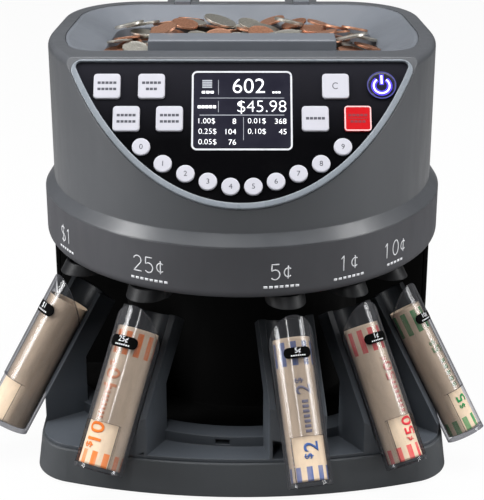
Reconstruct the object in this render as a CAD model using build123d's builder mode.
from build123d import *
import os
from math import acos, atan2, cos, degrees, pi, radians, sin, tan

# Coin sorting machine. Millimetres, +Z up, front towards -Y, origin on the table under the drum's centre.
# A hopper bowl feeds coins to a turning disc, which carries them round a deck with one slot for each
# coin. Each slot drops its coin down a chute into a leaning tube that holds a paper wrapper.

os.makedirs("parts", exist_ok=True)

# ---------------------------------------------------------------- driving dimensions
# drum, seen from above: a circle in front, flattened at the back with rounded corners
drum_r = 135.0
skirt_r = 141.5
back_y = 106.0
back_corner_r = 56.0
side_taper = 5.0
wall = 3.0

# heights
base_bottom = 2.0
base_top = 25.0
skirt_bottom = 133.0
skirt_top = 169.0
rim_z = 275.0
shoulder_height = 7.5

# base
base_half_width = 140.5
base_front_y = -168.0
base_corner_y = -140.0
base_front_corner_r = 32.0
base_back_y = 116.0
base_draft = 3.2
plate_thickness = 2.0
foot_r = 9.0
foot_x = 110.0
foot_front_y = -120.0
foot_back_y = 80.0

# leaning coin tubes: one azimuth from the front and one bore radius for each coin
tube_tilt = 34.0
tube_foot_r = 196.0
tube_foot_z = 24.0
tube_length = 110.0
tube_wall = 2.0
tube_floor = 3.0
window_height = 28.5
mouth_bevel = 45.0
wrapper_gap = 0.25
wrapper_wall = 0.8
wrapper_top = 96.0
coins = {
    "dollar": (-57.5, 14.9),
    "quarter": (-28.8, 14.4),
    "nickel": (13.0, 12.8),
    "penny": (33.8, 12.2),
    "dime": (51.6, 11.4),
}

# rack that carries the tubes
rack_gap = 0.05
rack_plate = 2.5
rack_step_r = 146.0
rack_step_height = 10.0
rack_inner_r = 131.0
rack_span = 78.0
cradle_flange = 4.0
cradle_back = 2.6
cradle_gap = 0.5
cradle_face = 0.35
cradle_length = 112.0
gusset_thickness = 2.0
gusset_height = 50.0
pocket_x = -13.0
pocket_width = 9.5
pocket_height = 3.8

# control panel, an inclined plane that cuts the front of the drum
panel_tilt = 50.8
panel_foot_y = -drum_r
panel_foot_z = 192.5
panel_height = 104.6
panel_thickness = 2.0
panel_pocket = 2.1
panel_wall = 5.5
panel_corner_r = 8.0
bezel_inset = 0.5
bezel_width = 4.1
bezel_top_width = 1.4
bezel_round = 0.5
bezel_proud = 2.0

# keys: places are measured on the panel, across from its middle and up from its foot
key_proud = 1.6
key_gap = 0.15
square_key = 17.5
square_key_corner = 2.4
round_key_r = 5.9
power_key_r = 9.0
square_keys = {
    "key_batch_clear": (-88.0, 85.3),
    "key_batch_set": (-59.0, 85.3),
    "key_batch_tubes": (-75.0, 62.5),
    "key_batch_trays": (-47.0, 62.5),
    "key_clear": (61.0, 85.3),
    "key_print": (47.5, 62.5),
    "key_start_stop": (75.0, 62.5),
}
power_key_place = (91.0, 85.8)
digit_places = [
    (-65.0, 43.0), (-50.8, 31.4), (-36.2, 24.6), (-21.8, 19.3), (-7.3, 15.9),
    (7.3, 15.9), (21.8, 19.3), (36.2, 24.6), (50.8, 31.4), (65.0, 43.0),
]
display_width = 64.0
display_height = 52.0
display_centre = (0.0, 68.7)

# hopper bowl
rim_land = 12.0
bowl_front_y = -51.0
bowl_corner_r = 22.0
bowl_gap = 0.2
bowl_depth = 93.0
dish_depth = 14.0
dish_width = 24.0
bowl_taper = 10.0
bowl_wall = 2.5
grip_width = 126.0
grip_depth = 21.0
grip_height = 7.0
hinge_y = 110.2
hinge_z = 271.0
hinge_x = 45.0
lug_root_y = 103.5
strap_root_y = 91.4
strap_thickness = 2.0
hinge_r = 3.8
hinge_pin_r = 1.5
hinge_clearance = 0.05

# sorting deck, disc and drive
deck_bottom = 158.0
deck_thickness = 3.0
slot_r = 103.0
rail_inner_r = 107.0
rail_outer_r = 112.0
rail_height = 8.0
disc_r = 105.5
disc_y = -10.0
disc_bottom = 161.6
disc_thickness = 4.0
shaft_r = 4.0
running_clearance = 0.05
bush_r = 8.0
gear_module = 1.5
gear_teeth = 60
pinion_teeth = 18
gear_z = 140.0
gear_face = 6.0
gear_backlash = 0.2
pressure_angle = 20.0
bracket_z = 133.0
bracket_thickness = 4.0
motor_r = 18.5
motor_length = 52.0
motor_shaft_r = 2.5

# chutes
chute_wall = 1.5
chute_bottom = 125.5
chute_flange = 3.0
core_r = 86.0
core_floor = 1.0
shell_inset = -2.0
shell_front_y = -16.0

shaft_spacing = gear_module * (gear_teeth + pinion_teeth) / 2
disc_centre = Plane(origin=(0, disc_y, 0))
motor_centre = Plane(origin=(0, disc_y + shaft_spacing, 0))
parts = {}


def keep_part(name, part):
    """Name a finished piece and remember it for export."""
    part.label = name
    parts[name] = part


# ---------------------------------------------------------------- shared outlines
def drum_plan(r):
    """Plan of the drum with front radius r, the back moved in by the same amount."""
    inset = drum_r - r
    back = back_y - inset
    lean = radians(side_taper)
    side_x = r * cos(lean)
    side_y = r * sin(lean)
    back_x = side_x - (back - side_y) * tan(lean)
    with BuildSketch() as plan:
        with BuildLine():
            ThreePointArc((-side_x, side_y), (0, -r), (side_x, side_y))
            Line((side_x, side_y), (back_x, back))
            Line((back_x, back), (-back_x, back))
            Line((-back_x, back), (-side_x, side_y))
        make_face()
        fillet(plan.vertices().group_by(Axis.Y)[-1], radius=back_corner_r - inset)
    return plan.sketch


def base_plan(inset=0.0):
    """Plan of the base, bowed at the front and rounded at its four corners."""
    half = base_half_width
    with BuildSketch() as plan:
        with BuildLine():
            ThreePointArc((-half, base_corner_y), (0, base_front_y), (half, base_corner_y))
            Line((half, base_corner_y), (half, base_back_y))
            Line((half, base_back_y), (-half, base_back_y))
            Line((-half, base_back_y), (-half, base_corner_y))
        make_face()
        fillet(plan.vertices().group_by(Axis.Y)[-1], radius=back_corner_r)
        fillet(plan.vertices().sort_by(Axis.Y)[0:2], radius=base_front_corner_r)
        if inset:
            offset(amount=-inset, mode=Mode.REPLACE)
    return plan.sketch


def bowl_plan(extra):
    """Mouth of the bowl, set in by extra from the opening in the rim."""
    with BuildSketch() as plan:
        add(drum_plan(drum_r - rim_land - extra))
        with Locations((0, bowl_front_y + extra - drum_r)):
            Rectangle(4 * drum_r, 2 * drum_r, mode=Mode.SUBTRACT)
        fillet(plan.vertices().group_by(Axis.Y)[0], radius=bowl_corner_r)
    return plan.sketch


def sector(r, half_angle):
    """Wedge of radius r that opens towards the front by half_angle each side."""
    left = (-r * sin(radians(half_angle)), -r * cos(radians(half_angle)))
    right = (-left[0], left[1])
    with BuildSketch() as wedge:
        with BuildLine():
            Line((0, 0), left)
            ThreePointArc(left, (0, -r), right)
            Line(right, (0, 0))
        make_face()
    return wedge.sketch


def tube_frame(azimuth):
    """Plane at a tube's foot: x across the tube, y in towards the drum, z up the tube."""
    turn = radians(azimuth)
    lean = radians(tube_tilt)
    foot = (tube_foot_r * sin(turn), -tube_foot_r * cos(turn), tube_foot_z)
    up = (-sin(lean) * sin(turn), sin(lean) * cos(turn), cos(lean))
    return Plane(origin=foot, x_dir=(cos(turn), sin(turn), 0), z_dir=up)


# front panel plane: x across, y up the slope, z out of the surface
slope = radians(panel_tilt)
panel_plane = Plane(
    origin=(0, panel_foot_y, panel_foot_z), x_dir=(1, 0, 0), z_dir=(0, -sin(slope), cos(slope))
)
panel_inset = bezel_inset + bezel_width + 0.1
panel_top_inset = bezel_inset + bezel_top_width + 0.1
panel_outward = Axis((0, 0, 0), (0, -sin(slope), cos(slope)))


def panel_outline(inset, top_inset):
    """Where the sloping plane meets the drum: the foot of an ellipse under a straight top edge."""
    half_length = drum_r / cos(slope)
    with BuildSketch() as outline:
        with Locations((0, half_length)):
            Ellipse(drum_r - inset, half_length - inset)
        with Locations((0, (panel_height - top_inset) / 2)):
            Rectangle(2 * drum_r, panel_height - top_inset, mode=Mode.INTERSECT)
        fillet(outline.vertices().group_by(Axis.Y)[-1], radius=max(panel_corner_r - inset, 2))
    return outline.sketch


# ---------------------------------------------------------------- base
with BuildPart() as base_tray:
    with BuildSketch(Plane.XY.offset(base_bottom)):
        add(base_plan())
    extrude(amount=base_top - base_bottom, taper=degrees(atan2(base_draft, base_top - base_bottom)))
    # hollow underneath, leaving bosses to back the scallops
    with BuildPart(mode=Mode.PRIVATE) as hollow:
        with BuildSketch(Plane.XY.offset(base_bottom)):
            add(base_plan(wall + base_draft))
        extrude(amount=base_top - base_bottom - wall)
        for azimuth, bore in coins.values():
            with BuildSketch(tube_frame(azimuth)):
                Circle(bore + tube_wall + wall)
            extrude(amount=tube_length / 2, both=True, mode=Mode.SUBTRACT)
    add(hollow.part, mode=Mode.SUBTRACT)
    # scallops in the front edge where the tubes lean past
    for azimuth, bore in coins.values():
        with BuildSketch(tube_frame(azimuth)):
            Circle(bore + tube_wall + cradle_gap)
        extrude(amount=tube_length / 2, both=True, mode=Mode.SUBTRACT)
keep_part("base_tray", base_tray.part)

foot_places = [(0, 0)] + [
    (x, y) for x in (-foot_x, foot_x) for y in (foot_front_y, foot_back_y)
]
with BuildPart() as base_plate:
    with BuildSketch(Plane.XY.offset(base_bottom)):
        add(base_plan(wall + base_draft + 0.3))
        with Locations(*foot_places):
            Circle(3.2, mode=Mode.SUBTRACT)
        for azimuth, bore in coins.values():
            turn = radians(azimuth)
            with Locations((tube_foot_r * sin(turn), -tube_foot_r * cos(turn))):
                Circle(bore * 2.6, mode=Mode.SUBTRACT)
    extrude(amount=plate_thickness)
keep_part("base_plate", base_plate.part)

with BuildPart() as rubber_feet:
    with BuildSketch():
        with Locations(*foot_places):
            Circle(foot_r)
    extrude(amount=base_bottom - 0.05)
    with BuildSketch(Plane.XY):
        with Locations(*foot_places):
            Circle(3.1)
    extrude(amount=base_bottom + plate_thickness + 1)
    fillet(rubber_feet.edges().group_by(Axis.Z)[0], radius=0.8)
keep_part("rubber_feet", rubber_feet.part)

# ---------------------------------------------------------------- pedestal between base and drum
shell_r = drum_r - shell_inset
inlet_place = (-52.0, 62.0)
inlet_size = (27.2, 19.8)
port_place = (36.0, 62.0)
port_size = (18.0, 10.0)
shell_back = back_y - shell_inset
with BuildPart() as rear_shell:
    with BuildSketch(Plane.XY.offset(base_top)):
        add(drum_plan(shell_r))
        add(drum_plan(shell_r - wall), mode=Mode.SUBTRACT)
        with Locations((0, shell_front_y - drum_r)):
            Rectangle(4 * drum_r, 2 * drum_r, mode=Mode.SUBTRACT)
    extrude(amount=deck_bottom - base_top - 0.1)
    with BuildSketch(Plane.XZ.offset(-shell_back - 1)):
        with Locations(inlet_place):
            Rectangle(*inlet_size)
        with Locations(port_place):
            Rectangle(*port_size)
    extrude(amount=wall + 2, mode=Mode.SUBTRACT)
keep_part("rear_shell", rear_shell.part)

with BuildPart() as core_shroud:
    with BuildSketch(Plane.XY.offset(base_top)):
        Circle(core_r)
        Circle(core_r - wall, mode=Mode.SUBTRACT)
        with Locations((0, drum_r + shell_front_y)):
            Rectangle(4 * drum_r, 2 * drum_r, mode=Mode.SUBTRACT)
        wing = shell_r - wall - 1.6 - (core_r - wall)
        for side in (-1, 1):
            with Locations((side * (core_r - wall + wing / 2), shell_front_y + wall / 2)):
                Rectangle(wing, wall)
    extrude(amount=chute_bottom + 20 - base_top)
    # dark floor out to the back of the rack
    with BuildSketch(Plane.XY.offset(base_top)):
        Circle(rack_inner_r - 1)
        Circle(core_r - wall, mode=Mode.SUBTRACT)
        with Locations((0, drum_r + shell_front_y)):
            Rectangle(4 * drum_r, 2 * drum_r, mode=Mode.SUBTRACT)
    extrude(amount=core_floor)
keep_part("core_shroud", core_shroud.part)

# ---------------------------------------------------------------- drum
with BuildPart() as drum_housing:
    with BuildSketch(Plane.XY.offset(skirt_top)):
        add(drum_plan(drum_r))
    extrude(amount=rim_z - skirt_top)
    fillet(drum_housing.edges().group_by(Axis.Z)[-1], radius=5)
    with BuildSketch(Plane.XY.offset(skirt_top)):
        add(drum_plan(skirt_r))
    extrude(amount=shoulder_height, taper=degrees(atan2(skirt_r - drum_r - 0.2, shoulder_height)))
    split(bisect_by=panel_plane, keep=Keep.BOTTOM)
    # room inside, stopping short of the rim and of the panel's seat
    with BuildPart(mode=Mode.PRIVATE) as room:
        with BuildSketch(Plane.XY.offset(skirt_top)):
            add(drum_plan(drum_r - wall))
        extrude(amount=rim_z - skirt_top - wall)
        split(bisect_by=panel_plane.offset(-panel_wall), keep=Keep.BOTTOM)
    add(room.part, mode=Mode.SUBTRACT)
    # mouth for the hopper bowl
    with BuildSketch(Plane.XY.offset(rim_z - 2 * wall)):
        add(bowl_plan(0))
    extrude(amount=3 * wall, mode=Mode.SUBTRACT)
    # seat for the bezel and panel, then a window behind them for the keys
    with BuildSketch(panel_plane.offset(-panel_pocket)):
        add(panel_outline(bezel_inset - 0.1, bezel_inset - 0.1))
    extrude(amount=2 * panel_pocket, mode=Mode.SUBTRACT)
    with BuildSketch(panel_plane.offset(-2 * panel_wall)):
        add(panel_outline(panel_inset + 0.4, panel_top_inset + 0.4))
    extrude(amount=2 * panel_wall, mode=Mode.SUBTRACT)
    # lugs for the hopper hinge
    for side in (-1, 1):
        for end in (-1, 1):
            with BuildSketch(Plane.YZ.offset(side * hinge_x + end * 9 - 3)):
                with Locations((hinge_y, hinge_z)):
                    Circle(hinge_r)
                with Locations(((hinge_y + lug_root_y) / 2, hinge_z)):
                    Rectangle(hinge_y - lug_root_y, 2 * hinge_r)
                with Locations((hinge_y, hinge_z)):
                    Circle(hinge_pin_r + 0.01, mode=Mode.SUBTRACT)
            extrude(amount=6)
keep_part("drum_housing", drum_housing.part)

with BuildPart() as skirt_ring:
    with BuildSketch(Plane.XY.offset(skirt_bottom)):
        add(drum_plan(skirt_r))
    extrude(amount=skirt_top - skirt_bottom)
    fillet(skirt_ring.edges().group_by(Axis.Z)[0], radius=6)
    with BuildSketch(Plane.XY.offset(skirt_bottom + 1)):
        add(drum_plan(skirt_r - wall))
    extrude(amount=skirt_top - skirt_bottom, mode=Mode.SUBTRACT)
    with BuildSketch(Plane.XY.offset(skirt_bottom)):
        add(drum_plan(skirt_r - wall))
    extrude(amount=1, mode=Mode.SUBTRACT)
keep_part("skirt_ring", skirt_ring.part)

# ---------------------------------------------------------------- control panel
with BuildPart() as panel_bezel:
    with BuildSketch(panel_plane.offset(-panel_pocket)):
        add(panel_outline(bezel_inset, bezel_inset))
        add(panel_outline(bezel_inset + bezel_width, bezel_inset + bezel_top_width), mode=Mode.SUBTRACT)
    extrude(amount=panel_pocket + bezel_proud)
    fillet(panel_bezel.faces().sort_by(panel_outward)[-1].edges(), radius=bezel_round)
keep_part("panel_bezel", panel_bezel.part)

with BuildPart() as control_panel:
    with BuildSketch(panel_plane.offset(-panel_thickness)):
        add(panel_outline(panel_inset, panel_top_inset))
        with Locations(*square_keys.values()):
            RectangleRounded(
                square_key + 2 * key_gap, square_key + 2 * key_gap, square_key_corner, mode=Mode.SUBTRACT
            )
        with Locations(*digit_places):
            Circle(round_key_r + key_gap, mode=Mode.SUBTRACT)
        with Locations(power_key_place):
            Circle(power_key_r + key_gap, mode=Mode.SUBTRACT)
        with Locations(display_centre):
            RectangleRounded(display_width, display_height, 3, mode=Mode.SUBTRACT)
    extrude(amount=panel_thickness)
keep_part("control_panel", control_panel.part)

with BuildPart() as display_window:
    with BuildSketch(panel_plane.offset(-panel_thickness)):
        with Locations(display_centre):
            RectangleRounded(display_width - 0.1, display_height - 0.1, 2.9)
    extrude(amount=panel_thickness)
keep_part("display_window", display_window.part)

with BuildPart() as display_module:
    with BuildSketch(panel_plane.offset(-6.2)):
        with Locations(display_centre):
            Rectangle(display_width - 5, display_height - 4)
    extrude(amount=4)
keep_part("display_module", display_module.part)

board_depth = 8.2
with BuildPart() as keypad_board:
    with BuildSketch(panel_plane.offset(-board_depth)):
        add(panel_outline(12, 12))
    extrude(amount=1.6)
    with BuildSketch(panel_plane.offset(-board_depth + 1.6)):
        with Locations(*square_keys.values(), *digit_places, power_key_place):
            Circle(2.5)
    extrude(amount=0.25)
keep_part("keypad_board", keypad_board.part)


def key_part(place, is_square, size):
    """Key cap with the flange that keeps it in the panel and the stem that meets the board."""
    with BuildPart() as key:
        with BuildSketch(panel_plane.offset(-panel_thickness - 0.05)):
            with Locations(place):
                if is_square:
                    RectangleRounded(size, size, square_key_corner)
                else:
                    Circle(size)
        extrude(amount=panel_thickness + 0.05 + key_proud)
        fillet(key.faces().sort_by(panel_outward)[-1].edges(), radius=0.7)
        with BuildSketch(panel_plane.offset(-panel_thickness - 0.05)):
            with Locations(place):
                if is_square:
                    RectangleRounded(size + 0.6, size + 0.6, square_key_corner)
                else:
                    Circle(size + 0.4)
        extrude(amount=-1.0)
        with BuildSketch(panel_plane.offset(-panel_thickness - 1)):
            with Locations(place):
                Circle(2)
        extrude(amount=-2.05)
    return key.part


for name, place in square_keys.items():
    keep_part(name, key_part(place, True, square_key))
for digit, place in enumerate(digit_places):
    keep_part(f"key_{digit}", key_part(place, False, round_key_r))
keep_part("key_power", key_part(power_key_place, False, power_key_r))


# ---------------------------------------------------------------- hopper bowl and hinge
def bowl_solid(extra, dish):
    """Bowl filled in: a shallow dish of the given depth over a steeper well, set in by extra."""
    with BuildPart() as solid:
        with BuildSketch(Plane.XY.offset(bowl_top)):
            add(bowl_plan(extra))
        with BuildSketch(Plane.XY.offset(bowl_top - dish)):
            add(bowl_plan(extra + dish_width))
        loft()
        with BuildSketch(Plane.XY.offset(bowl_top - dish)):
            add(bowl_plan(extra + dish_width))
        extrude(amount=dish - bowl_depth, taper=bowl_taper)
    return solid.part


bowl_top = rim_z - 0.5
strap_top = rim_z + 0.3 + strap_thickness
with BuildPart() as hopper_bowl:
    add(bowl_solid(bowl_gap, dish_depth))
    add(bowl_solid(bowl_gap + bowl_wall, dish_depth - bowl_wall), mode=Mode.SUBTRACT)
    with BuildSketch(Plane.XY.offset(bowl_top - dish_depth + bowl_wall)):
        with Locations((0, bowl_front_y + bowl_gap + 1 + grip_depth / 2)):
            Rectangle(grip_width, grip_depth)
    extrude(amount=grip_height + rim_z - bowl_top + dish_depth - bowl_wall)
    fillet(hopper_bowl.faces().sort_by(Axis.Z)[-1].edges(), radius=1.5)
    # straps over the rim to the hinge behind it
    for side in (-1, 1):
        with BuildSketch(Plane.YZ.offset(side * hinge_x - 5.8)):
            with Locations((hinge_y, hinge_z)):
                Circle(hinge_r)
            with Locations((hinge_y, (hinge_z + strap_top) / 2)):
                Rectangle(2 * hinge_r, strap_top - hinge_z)
            with Locations(((strap_root_y + hinge_y) / 2, strap_top - strap_thickness / 2)):
                Rectangle(hinge_y - strap_root_y, strap_thickness)
            with Locations((strap_root_y + 1, (bowl_top - 1 + strap_top) / 2)):
                Rectangle(2, strap_top - bowl_top + 1)
            with Locations((hinge_y, hinge_z)):
                Circle(hinge_pin_r + hinge_clearance, mode=Mode.SUBTRACT)
        extrude(amount=11.6)
keep_part("hopper_bowl", hopper_bowl.part)

with BuildPart() as hinge_pins:
    for side in (-1, 1):
        with BuildSketch(Plane.YZ.offset(side * hinge_x - 13)):
            with Locations((hinge_y, hinge_z)):
                Circle(hinge_pin_r)
        extrude(amount=26)
keep_part("hinge_pins", hinge_pins.part)

# ---------------------------------------------------------------- sorting deck and disc
deck_top = deck_bottom + deck_thickness
with BuildPart() as sort_deck:
    with BuildSketch(Plane.XY.offset(deck_bottom)):
        add(drum_plan(skirt_r - wall - 0.2))
        with Locations((0, disc_y)):
            Circle(bush_r + 0.02, mode=Mode.SUBTRACT)
        for azimuth, bore in coins.values():
            with Locations(Location((0, 0, 0), (0, 0, azimuth))):
                with Locations((0, -slot_r)):
                    SlotOverall(2 * bore * 1.15, 2 * bore - 3, mode=Mode.SUBTRACT)
    extrude(amount=deck_thickness)
keep_part("sort_deck", sort_deck.part)

with BuildPart() as sort_rail:
    with BuildSketch(Plane.XY.offset(deck_top)):
        with Locations((0, disc_y)):
            Circle(rail_outer_r)
            Circle(rail_inner_r, mode=Mode.SUBTRACT)
    extrude(amount=rail_height)
keep_part("sort_rail", sort_rail.part)

hub_height = 4.0
with BuildPart() as sorting_disc:
    with BuildSketch(disc_centre.offset(disc_bottom)):
        Circle(disc_r)
    extrude(amount=disc_thickness)
    with BuildSketch(disc_centre.offset(disc_bottom + disc_thickness)):
        Circle(30)
    extrude(amount=hub_height, taper=35)
    with BuildSketch(disc_centre.offset(disc_bottom + disc_thickness)):
        with PolarLocations(66, 6):
            SlotOverall(50, 5)
    extrude(amount=2)
    with BuildSketch(disc_centre.offset(disc_bottom)):
        Circle(shaft_r)
    extrude(amount=4 * disc_thickness, mode=Mode.SUBTRACT)
keep_part("sorting_disc", sorting_disc.part)

knob_bottom = disc_bottom + disc_thickness + hub_height
shaft_top = knob_bottom + 6
with BuildPart() as disc_knob:
    with BuildSketch(disc_centre.offset(knob_bottom)):
        Circle(13)
    extrude(amount=8)
    fillet(disc_knob.edges().group_by(Axis.Z)[-1], radius=3)
    with BuildSketch(disc_centre.offset(knob_bottom)):
        Circle(shaft_r)
    extrude(amount=shaft_top - knob_bottom, mode=Mode.SUBTRACT)
keep_part("disc_knob", disc_knob.part)

with BuildPart() as drive_shaft:
    with BuildSketch(disc_centre.offset(bracket_z - 3)):
        Circle(shaft_r)
    extrude(amount=shaft_top - bracket_z + 3)
keep_part("drive_shaft", drive_shaft.part)

with BuildPart() as shaft_bushes:
    for low, high in ((deck_bottom - 2, deck_top), (bracket_z, bracket_z + bracket_thickness + 2)):
        with BuildSketch(disc_centre.offset(low)):
            Circle(bush_r)
            Circle(shaft_r + running_clearance, mode=Mode.SUBTRACT)
        extrude(amount=high - low)
keep_part("shaft_bushes", shaft_bushes.part)


# ---------------------------------------------------------------- drive gears
def gear_face_sketch(teeth, bore):
    """Spur gear face with involute flanks and a tooth centred on +X."""
    pitch_r = gear_module * teeth / 2
    base_r = pitch_r * cos(radians(pressure_angle))
    tip_r = pitch_r + 0.9 * gear_module
    root_r = pitch_r - 1.2 * gear_module
    at_pitch = tan(radians(pressure_angle)) - radians(pressure_angle)
    start_r = max(base_r, root_r)
    steps = 4
    points = []
    for tooth in range(teeth):
        middle = 2 * pi * tooth / teeth
        flank = []
        for step in range(steps + 1):
            r = start_r + (tip_r - start_r) * step / steps
            unwound = acos(min(1.0, base_r / r))
            half = pi / (2 * teeth) + at_pitch - (tan(unwound) - unwound) - gear_backlash / (2 * pitch_r)
            flank.append((r, half))
        if root_r < start_r:
            flank.insert(0, (root_r, flank[0][1]))
        for r, half in flank:
            points.append((r * cos(middle - half), r * sin(middle - half)))
        for r, half in reversed(flank):
            points.append((r * cos(middle + half), r * sin(middle + half)))
    with BuildSketch() as face:
        with BuildLine():
            Polyline(*points, close=True)
        make_face()
        Circle(bore, mode=Mode.SUBTRACT)
    return face.sketch


with BuildPart() as disc_gear:
    with BuildSketch(disc_centre.offset(gear_z)):
        add(gear_face_sketch(gear_teeth, shaft_r))
        with PolarLocations(26, 6):
            Circle(8, mode=Mode.SUBTRACT)
    extrude(amount=gear_face)
keep_part("disc_gear", disc_gear.part)

motor_top = bracket_z - 0.1
with BuildPart() as motor_pinion:
    with BuildSketch(motor_centre.offset(gear_z - 1)):
        add(gear_face_sketch(pinion_teeth, 1))
        Circle(2)
    extrude(amount=gear_face + 2)
    with BuildSketch(motor_centre.offset(motor_top - 12)):
        Circle(motor_shaft_r)
    extrude(amount=gear_z - motor_top + 12)
keep_part("motor_pinion", motor_pinion.part)

with BuildPart() as gearmotor:
    with BuildSketch(motor_centre.offset(motor_top - motor_length)):
        Circle(motor_r)
    extrude(amount=motor_length)
    fillet(gearmotor.edges().group_by(Axis.Z)[0], radius=2)
    with BuildSketch(motor_centre.offset(motor_top - 13)):
        Circle(motor_shaft_r + running_clearance)
    extrude(amount=13, mode=Mode.SUBTRACT)
    with BuildSketch(motor_centre.offset(motor_top - motor_length - 5)):
        with Locations((-6, 0), (6, 0)):
            Rectangle(1, 4)
    extrude(amount=6)
keep_part("gearmotor", gearmotor.part)

post_places = [(-58, -12), (58, -12), (-48, 90), (48, 90)]
with BuildPart() as drive_bracket:
    with BuildSketch(disc_centre.offset(bracket_z)):
        with Locations((0, 40)):
            RectangleRounded(130, 116, 10)
        Circle(bush_r + 0.02, mode=Mode.SUBTRACT)
        with Locations((0, shaft_spacing)):
            Circle(motor_shaft_r + 1, mode=Mode.SUBTRACT)
    extrude(amount=bracket_thickness)
    with BuildSketch(disc_centre.offset(bracket_z + bracket_thickness)):
        with Locations(*post_places):
            Circle(4)
    extrude(amount=deck_bottom - bracket_z - bracket_thickness)
keep_part("drive_bracket", drive_bracket.part)

# ---------------------------------------------------------------- chutes and sensors
with BuildPart() as chute_ring:
    with BuildSketch(Plane.XY.offset(deck_bottom - chute_flange)):
        add(sector(134, 76))
        Circle(92, mode=Mode.SUBTRACT)
    extrude(amount=chute_flange)
    for azimuth, bore in coins.values():
        frame = tube_frame(azimuth)
        reach = (chute_bottom - tube_foot_z) / cos(radians(tube_tilt)) - 2 * bore
        with BuildSketch(frame.offset(reach)):
            Circle(bore - 1 + chute_wall)
            with Locations((0, -bore - chute_wall)):
                Rectangle(4 * bore, 2 * bore, mode=Mode.SUBTRACT)
        extrude(amount=6 * bore)
    # full round noses below the skirt
    with BuildPart(mode=Mode.PRIVATE) as noses:
        for azimuth, bore in coins.values():
            with BuildSketch(tube_frame(azimuth)):
                Circle(bore - 1 + chute_wall)
            extrude(amount=2 * tube_length)
        split(bisect_by=Plane.XY.offset(skirt_bottom - 0.3), keep=Keep.BOTTOM)
        split(bisect_by=Plane.XY.offset(chute_bottom), keep=Keep.TOP)
    add(noses.part)
    for azimuth, bore in coins.values():
        with BuildSketch(tube_frame(azimuth)):
            Circle(bore - 1)
        extrude(amount=2 * tube_length, mode=Mode.SUBTRACT)
    split(bisect_by=Plane.XY.offset(deck_bottom), keep=Keep.BOTTOM)
    split(bisect_by=Plane.XY.offset(chute_bottom), keep=Keep.TOP)
keep_part("chute_ring", chute_ring.part)

with BuildPart() as coin_sensors:
    for azimuth, bore in coins.values():
        with BuildSketch(Plane.XY.offset(deck_bottom - 9)):
            with Locations(Location((0, 0, 0), (0, 0, azimuth))):
                with Locations((0, -80)):
                    Rectangle(12, 7)
        extrude(amount=9)
keep_part("coin_sensors", coin_sensors.part)

# ---------------------------------------------------------------- electronics at the back
board_y = shell_back - wall - 6
with BuildPart() as main_board:
    with BuildSketch(Plane.XZ.offset(-board_y)):
        with Locations((0, 98)):
            Rectangle(110, 50)
    extrude(amount=1.6)
    with BuildSketch(Plane.XZ.offset(-board_y + 1.6)):
        with Locations((-30, 98), (12, 106)):
            Rectangle(16, 16)
        with Locations((38, 86)):
            Rectangle(10, 20)
    extrude(amount=3)
    with BuildSketch(Plane.XZ.offset(-shell_back + wall)):
        with Locations((-50, 78), (50, 78), (-50, 118), (50, 118)):
            Circle(3)
    extrude(amount=6)
keep_part("main_board", main_board.part)

with BuildPart() as power_inlet:
    with BuildSketch(Plane.XZ.offset(-shell_back)):
        with Locations(inlet_place):
            Rectangle(inlet_size[0] - 0.2, inlet_size[1] - 0.2)
    extrude(amount=18)
    with BuildSketch(Plane.XZ.offset(-shell_back - 2.5)):
        with Locations(inlet_place):
            RectangleRounded(34, 26, 3)
    extrude(amount=2.5)
    with BuildSketch(Plane.XZ.offset(-shell_back - 2.5)):
        with Locations(inlet_place):
            Rectangle(24, 16)
    extrude(amount=16, mode=Mode.SUBTRACT)
    with BuildSketch(Plane.XZ.offset(-shell_back + 2)):
        for x, z in ((-7, -2), (0, 3), (7, -2)):
            with Locations((inlet_place[0] + x, inlet_place[1] + z)):
                Rectangle(2, 4)
    extrude(amount=14)
keep_part("power_inlet", power_inlet.part)

with BuildPart() as data_port:
    with BuildSketch(Plane.XZ.offset(-shell_back - 2)):
        with Locations(port_place):
            RectangleRounded(port_size[0] - 0.4, port_size[1] - 0.4, 2)
    extrude(amount=14)
    with BuildSketch(Plane.XZ.offset(-shell_back - 2)):
        with Locations(port_place):
            RectangleRounded(port_size[0] - 3, port_size[1] - 3, 1)
    extrude(amount=8, mode=Mode.SUBTRACT)
keep_part("data_port", data_port.part)

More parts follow.
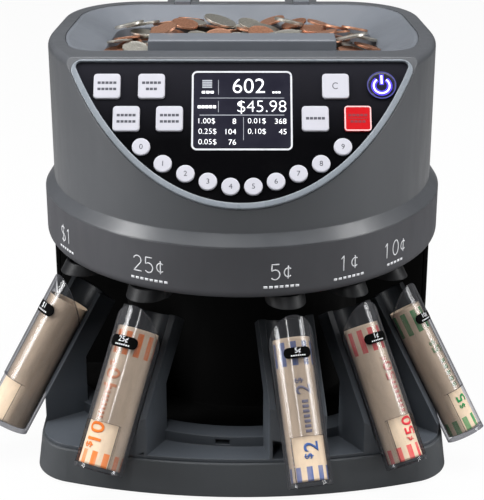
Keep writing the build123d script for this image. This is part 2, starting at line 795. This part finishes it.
# ---------------------------------------------------------------- tube rack
rack_low = base_top + rack_gap
with BuildPart() as tube_rack:
    with BuildSketch(Plane.XY.offset(rack_low)):
        add(base_plan(base_draft + 2))
        add(sector(2 * drum_r, rack_span), mode=Mode.INTERSECT)
        Circle(rack_inner_r, mode=Mode.SUBTRACT)
    extrude(amount=rack_plate)
    with BuildSketch(Plane.XY.offset(rack_low)):
        add(sector(rack_step_r, rack_span))
        Circle(rack_inner_r, mode=Mode.SUBTRACT)
    extrude(amount=rack_step_height)
    with BuildPart(mode=Mode.PRIVATE) as cradles:
        for azimuth, bore in coins.values():
            outer = bore + tube_wall
            face = cradle_face * outer
            back = outer + cradle_gap + cradle_back
            frame = tube_frame(azimuth)
            with BuildSketch(frame):
                with Locations((0, (face + back) / 2)):
                    Rectangle(2 * (outer + cradle_flange), back - face)
            extrude(amount=cradle_length)
            # ribs under the cradle, standing on the plate
            low_r = tube_foot_r - (rack_low - tube_foot_z) * tan(radians(tube_tilt))
            low_r = low_r - back / cos(radians(tube_tilt)) + 4
            high_r = low_r - gusset_height * tan(radians(tube_tilt))
            for side in (-1, 1):
                rib_x = side * (outer + cradle_flange - gusset_thickness / 2)
                rib_plane = Plane(
                    origin=(0, 0, 0), x_dir=(sin(radians(azimuth)), -cos(radians(azimuth)), 0),
                    z_dir=(-cos(radians(azimuth)), -sin(radians(azimuth)), 0),
                )
                with BuildSketch(rib_plane.offset(-rib_x - gusset_thickness / 2)):
                    with BuildLine():
                        Polyline(
                            (high_r, rack_low), (low_r, rack_low), (high_r, rack_low + gusset_height), close=True
                        )
                    make_face()
                extrude(amount=gusset_thickness)
        with BuildSketch(Plane.XY.offset(rack_low)):
            add(base_plan(base_draft + 2))
        extrude(amount=2 * tube_length, mode=Mode.INTERSECT)
    add(cradles.part)
    for azimuth, bore in coins.values():
        with BuildSketch(tube_frame(azimuth)):
            Circle(bore + tube_wall + cradle_gap)
        extrude(amount=2 * tube_length, both=True, mode=Mode.SUBTRACT)
    # finger pocket in the front of the step
    with BuildSketch(Plane.XY.offset(rack_low + rack_step_height / 2 - pocket_height / 2 + 1)):
        with Locations((pocket_x, -rack_step_r)):
            Rectangle(pocket_width, 12)
    extrude(amount=pocket_height, mode=Mode.SUBTRACT)
keep_part("tube_rack", tube_rack.part)

# ---------------------------------------------------------------- coin tubes and wrappers
for coin, (azimuth, bore) in coins.items():
    frame = tube_frame(azimuth)
    outer = bore + tube_wall
    bevel = radians(mouth_bevel)
    mouth = Plane(
        origin=frame.origin + frame.z_dir * (tube_length - outer),
        z_dir=frame.y_dir * sin(bevel) + frame.z_dir * cos(bevel),
    )
    with BuildPart() as tube:
        with BuildSketch(frame):
            Circle(outer)
        extrude(amount=tube_length + outer)
        with BuildSketch(frame.offset(tube_floor)):
            Circle(bore)
        extrude(amount=tube_length + outer, mode=Mode.SUBTRACT)
        with BuildSketch(frame.offset(tube_floor)):
            with Locations((0, -outer)):
                Rectangle(1.7 * bore, 2 * outer)
        extrude(amount=window_height, mode=Mode.SUBTRACT)
        split(bisect_by=mouth, keep=Keep.BOTTOM)
    keep_part(f"coin_tube_{coin}", tube.part)

    wrapper_r = bore - wrapper_gap
    with BuildPart() as wrapper:
        with BuildSketch(frame.offset(tube_floor + 0.1)):
            Circle(wrapper_r)
            Circle(wrapper_r - wrapper_wall, mode=Mode.SUBTRACT)
        extrude(amount=wrapper_top - tube_floor)
    keep_part(f"paper_wrapper_{coin}", wrapper.part)

# ---------------------------------------------------------------- fasteners
with BuildPart() as case_screws:
    with BuildSketch(Plane.XY.offset(base_bottom - 0.8)):
        with Locations((-80, -100), (80, -100), (-60, 95), (60, 95)):
            Circle(3.2)
    extrude(amount=0.75)
keep_part("case_screws", case_screws.part)

for name, part in parts.items():
    export_step(part, f"parts/{name}.step")
